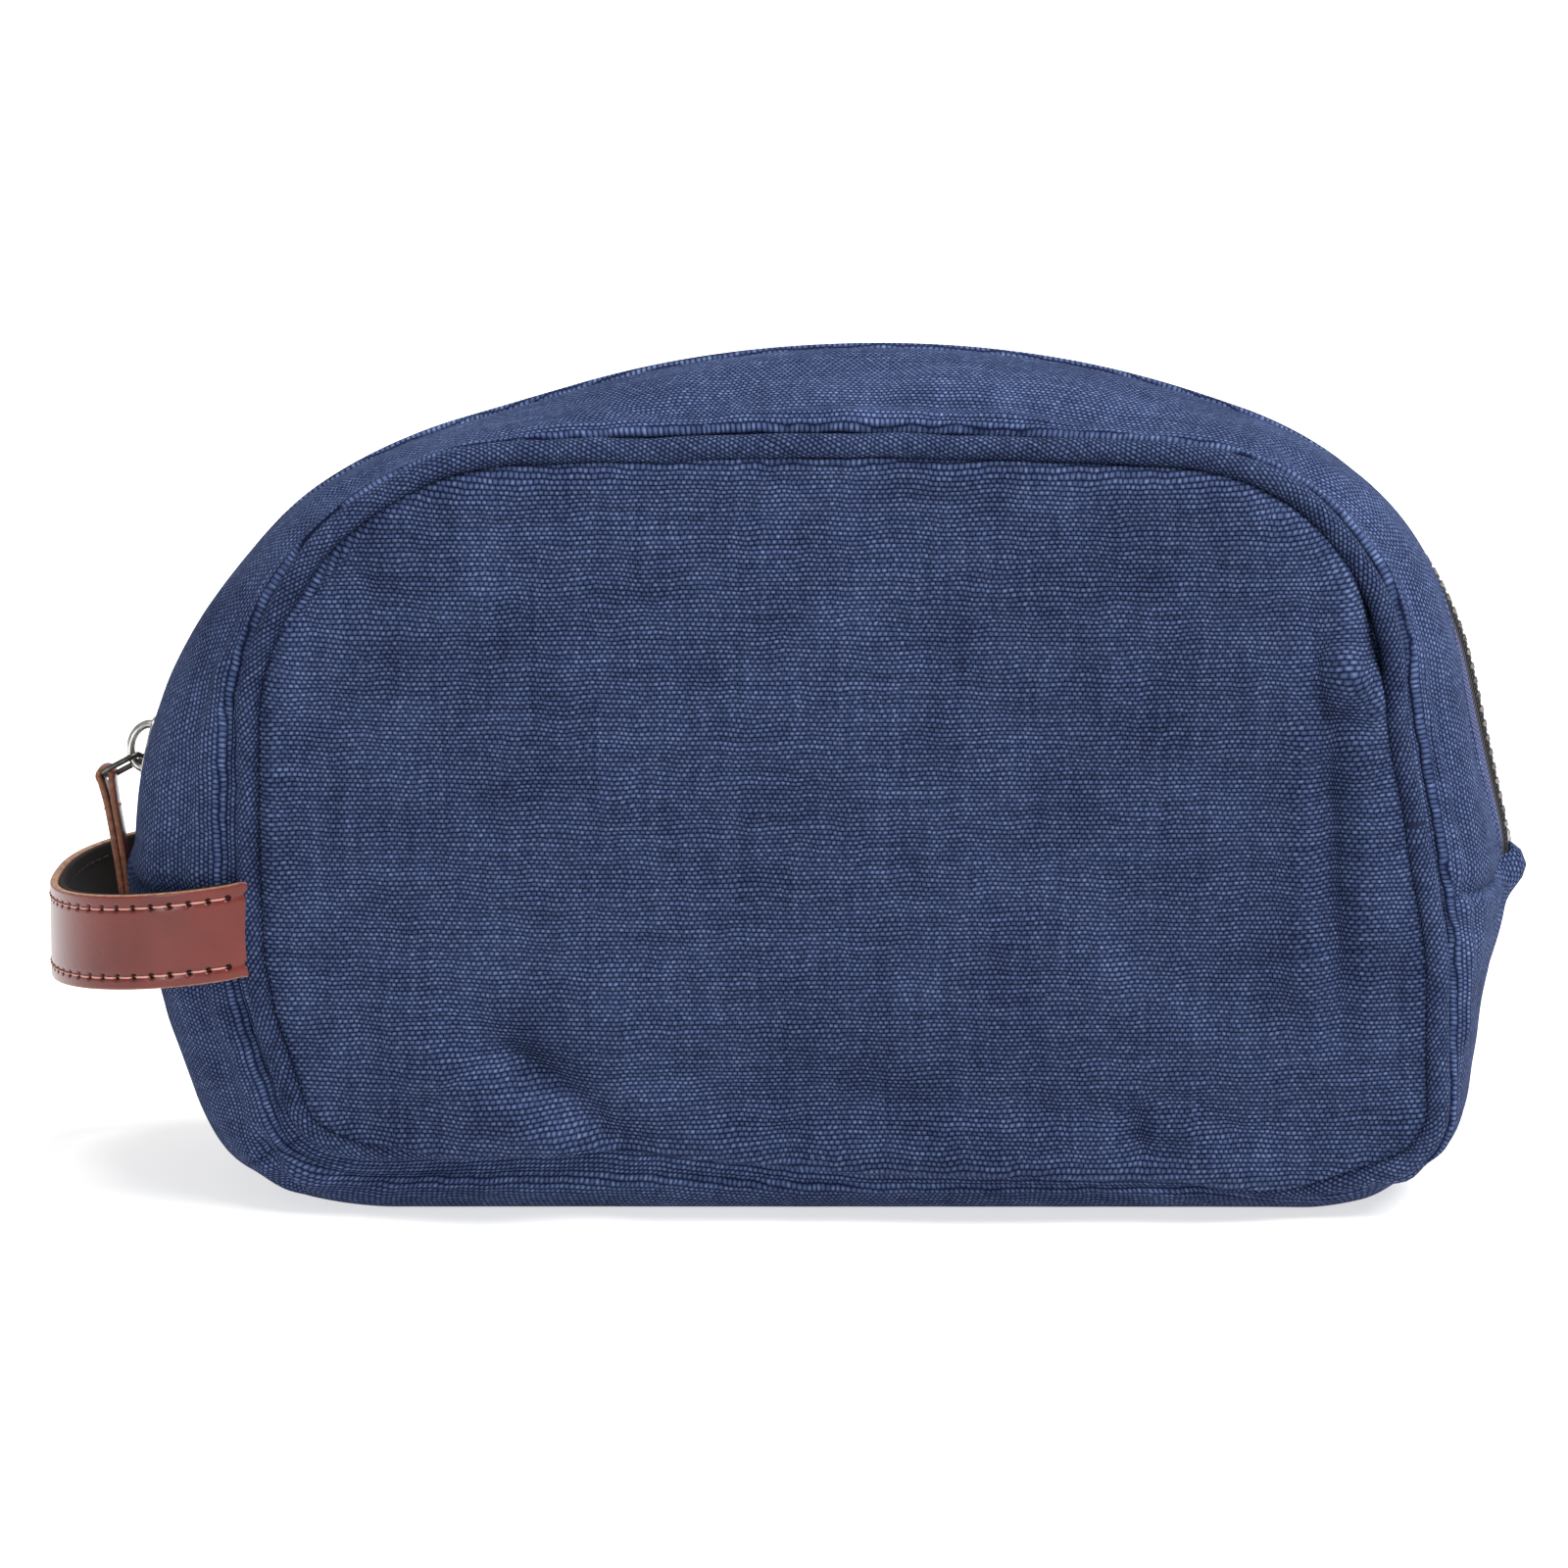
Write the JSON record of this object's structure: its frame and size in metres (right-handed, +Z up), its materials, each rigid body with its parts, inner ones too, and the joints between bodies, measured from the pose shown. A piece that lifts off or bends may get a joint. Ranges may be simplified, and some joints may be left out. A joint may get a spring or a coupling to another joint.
{
  "type": "shaving kit bag",
  "caption": "Navy canvas shaving kit bag with piped oval panels, a zip over the top and down both ends, a leather zip pull and a leather carrying loop.",
  "frame": {"origin": "middle of the base, on the surface the bag stands on", "axes": "+X along the bag to the right as seen from the front, +Y to the back, +Z up"},
  "size_m": [0.2773, 0.1144, 0.1569],
  "materials": {
    "canvas": "heavy washed navy canvas",
    "piping": "bias-cut navy canvas over cord",
    "lining": "smooth grey coated lining",
    "binding": "woven navy seam tape",
    "tape": "navy herringbone zip tape",
    "teeth": "antique metal teeth",
    "nickel": "polished nickel",
    "gunmetal": "dark nickel wire",
    "leather": "glossy brown leather with raw tan edges",
    "backing": "near-black leather backing"
  },
  "bodies": {
    "bag": {"front_panel": "canvas", "back_panel": "canvas", "base_panel": "canvas", "left_end_panel": "canvas", "right_end_panel": "canvas", "front_piping": "piping", "back_piping": "piping", "front_lining": "lining", "back_lining": "lining", "base_lining": "lining", "front_seam_binding": "binding", "back_seam_binding": "binding", "bottom_stop": "nickel"},
    "front_mouth": {"front_strip": "canvas", "front_strip_lining": "lining", "front_zip_tape": "tape", "front_zip_teeth": "teeth", "front_top_stop": "nickel"},
    "back_mouth": {"back_strip": "canvas", "back_strip_lining": "lining", "back_zip_tape": "tape", "back_zip_teeth": "teeth", "back_top_stop": "nickel"},
    "slider": {"slider_body": "nickel", "slider_crown": "nickel"},
    "pull_link": {"pull_link": "gunmetal"},
    "pull_tab": {"pull_tab": "leather"},
    "handle": {"handle_strap": "leather", "handle_backing": "backing"}
  },
  "joints": [
    {"name": "front_mouth_open", "type": "hinge", "parent": "bag", "child": "front_mouth", "pos_m": [0, 0, 0.0615], "axis": [1, 0, 0], "range_deg": [0, 20], "deforming": ["front_strip", "front_strip_lining", "front_zip_tape"]},
    {"name": "back_mouth_open", "type": "hinge", "parent": "bag", "child": "back_mouth", "pos_m": [0, 0, 0.0615], "axis": [-1, 0, 0], "range_deg": [0, 20], "deforming": ["back_strip", "back_strip_lining", "back_zip_tape"]},
    {"name": "slider_travel", "type": "hinge", "parent": "back_mouth", "child": "slider", "pos_m": [-0.04504, 0, 0.06196], "axis": [0, 1, 0], "range_deg": [-6, 60]},
    {"name": "pull_link_swing", "type": "hinge", "parent": "slider", "child": "pull_link", "pos_m": [-0.12963, 0, 0.07933], "axis": [0, 1, 0], "range_deg": [-1, 8]},
    {"name": "pull_tab_swing", "type": "hinge", "parent": "pull_link", "child": "pull_tab", "pos_m": [-0.13627, 0, 0.07583], "axis": [0, 1, 0], "range_deg": [0, 9]},
    {"name": "handle_flex", "type": "hinge", "parent": "bag", "child": "handle", "pos_m": [-0.108, 0, 0.0525], "axis": [0, 1, 0], "range_deg": [-20, 20], "stiffness_Nm_per_rad": 0.08, "deforming": ["handle_strap", "handle_backing"]}
  ]
}
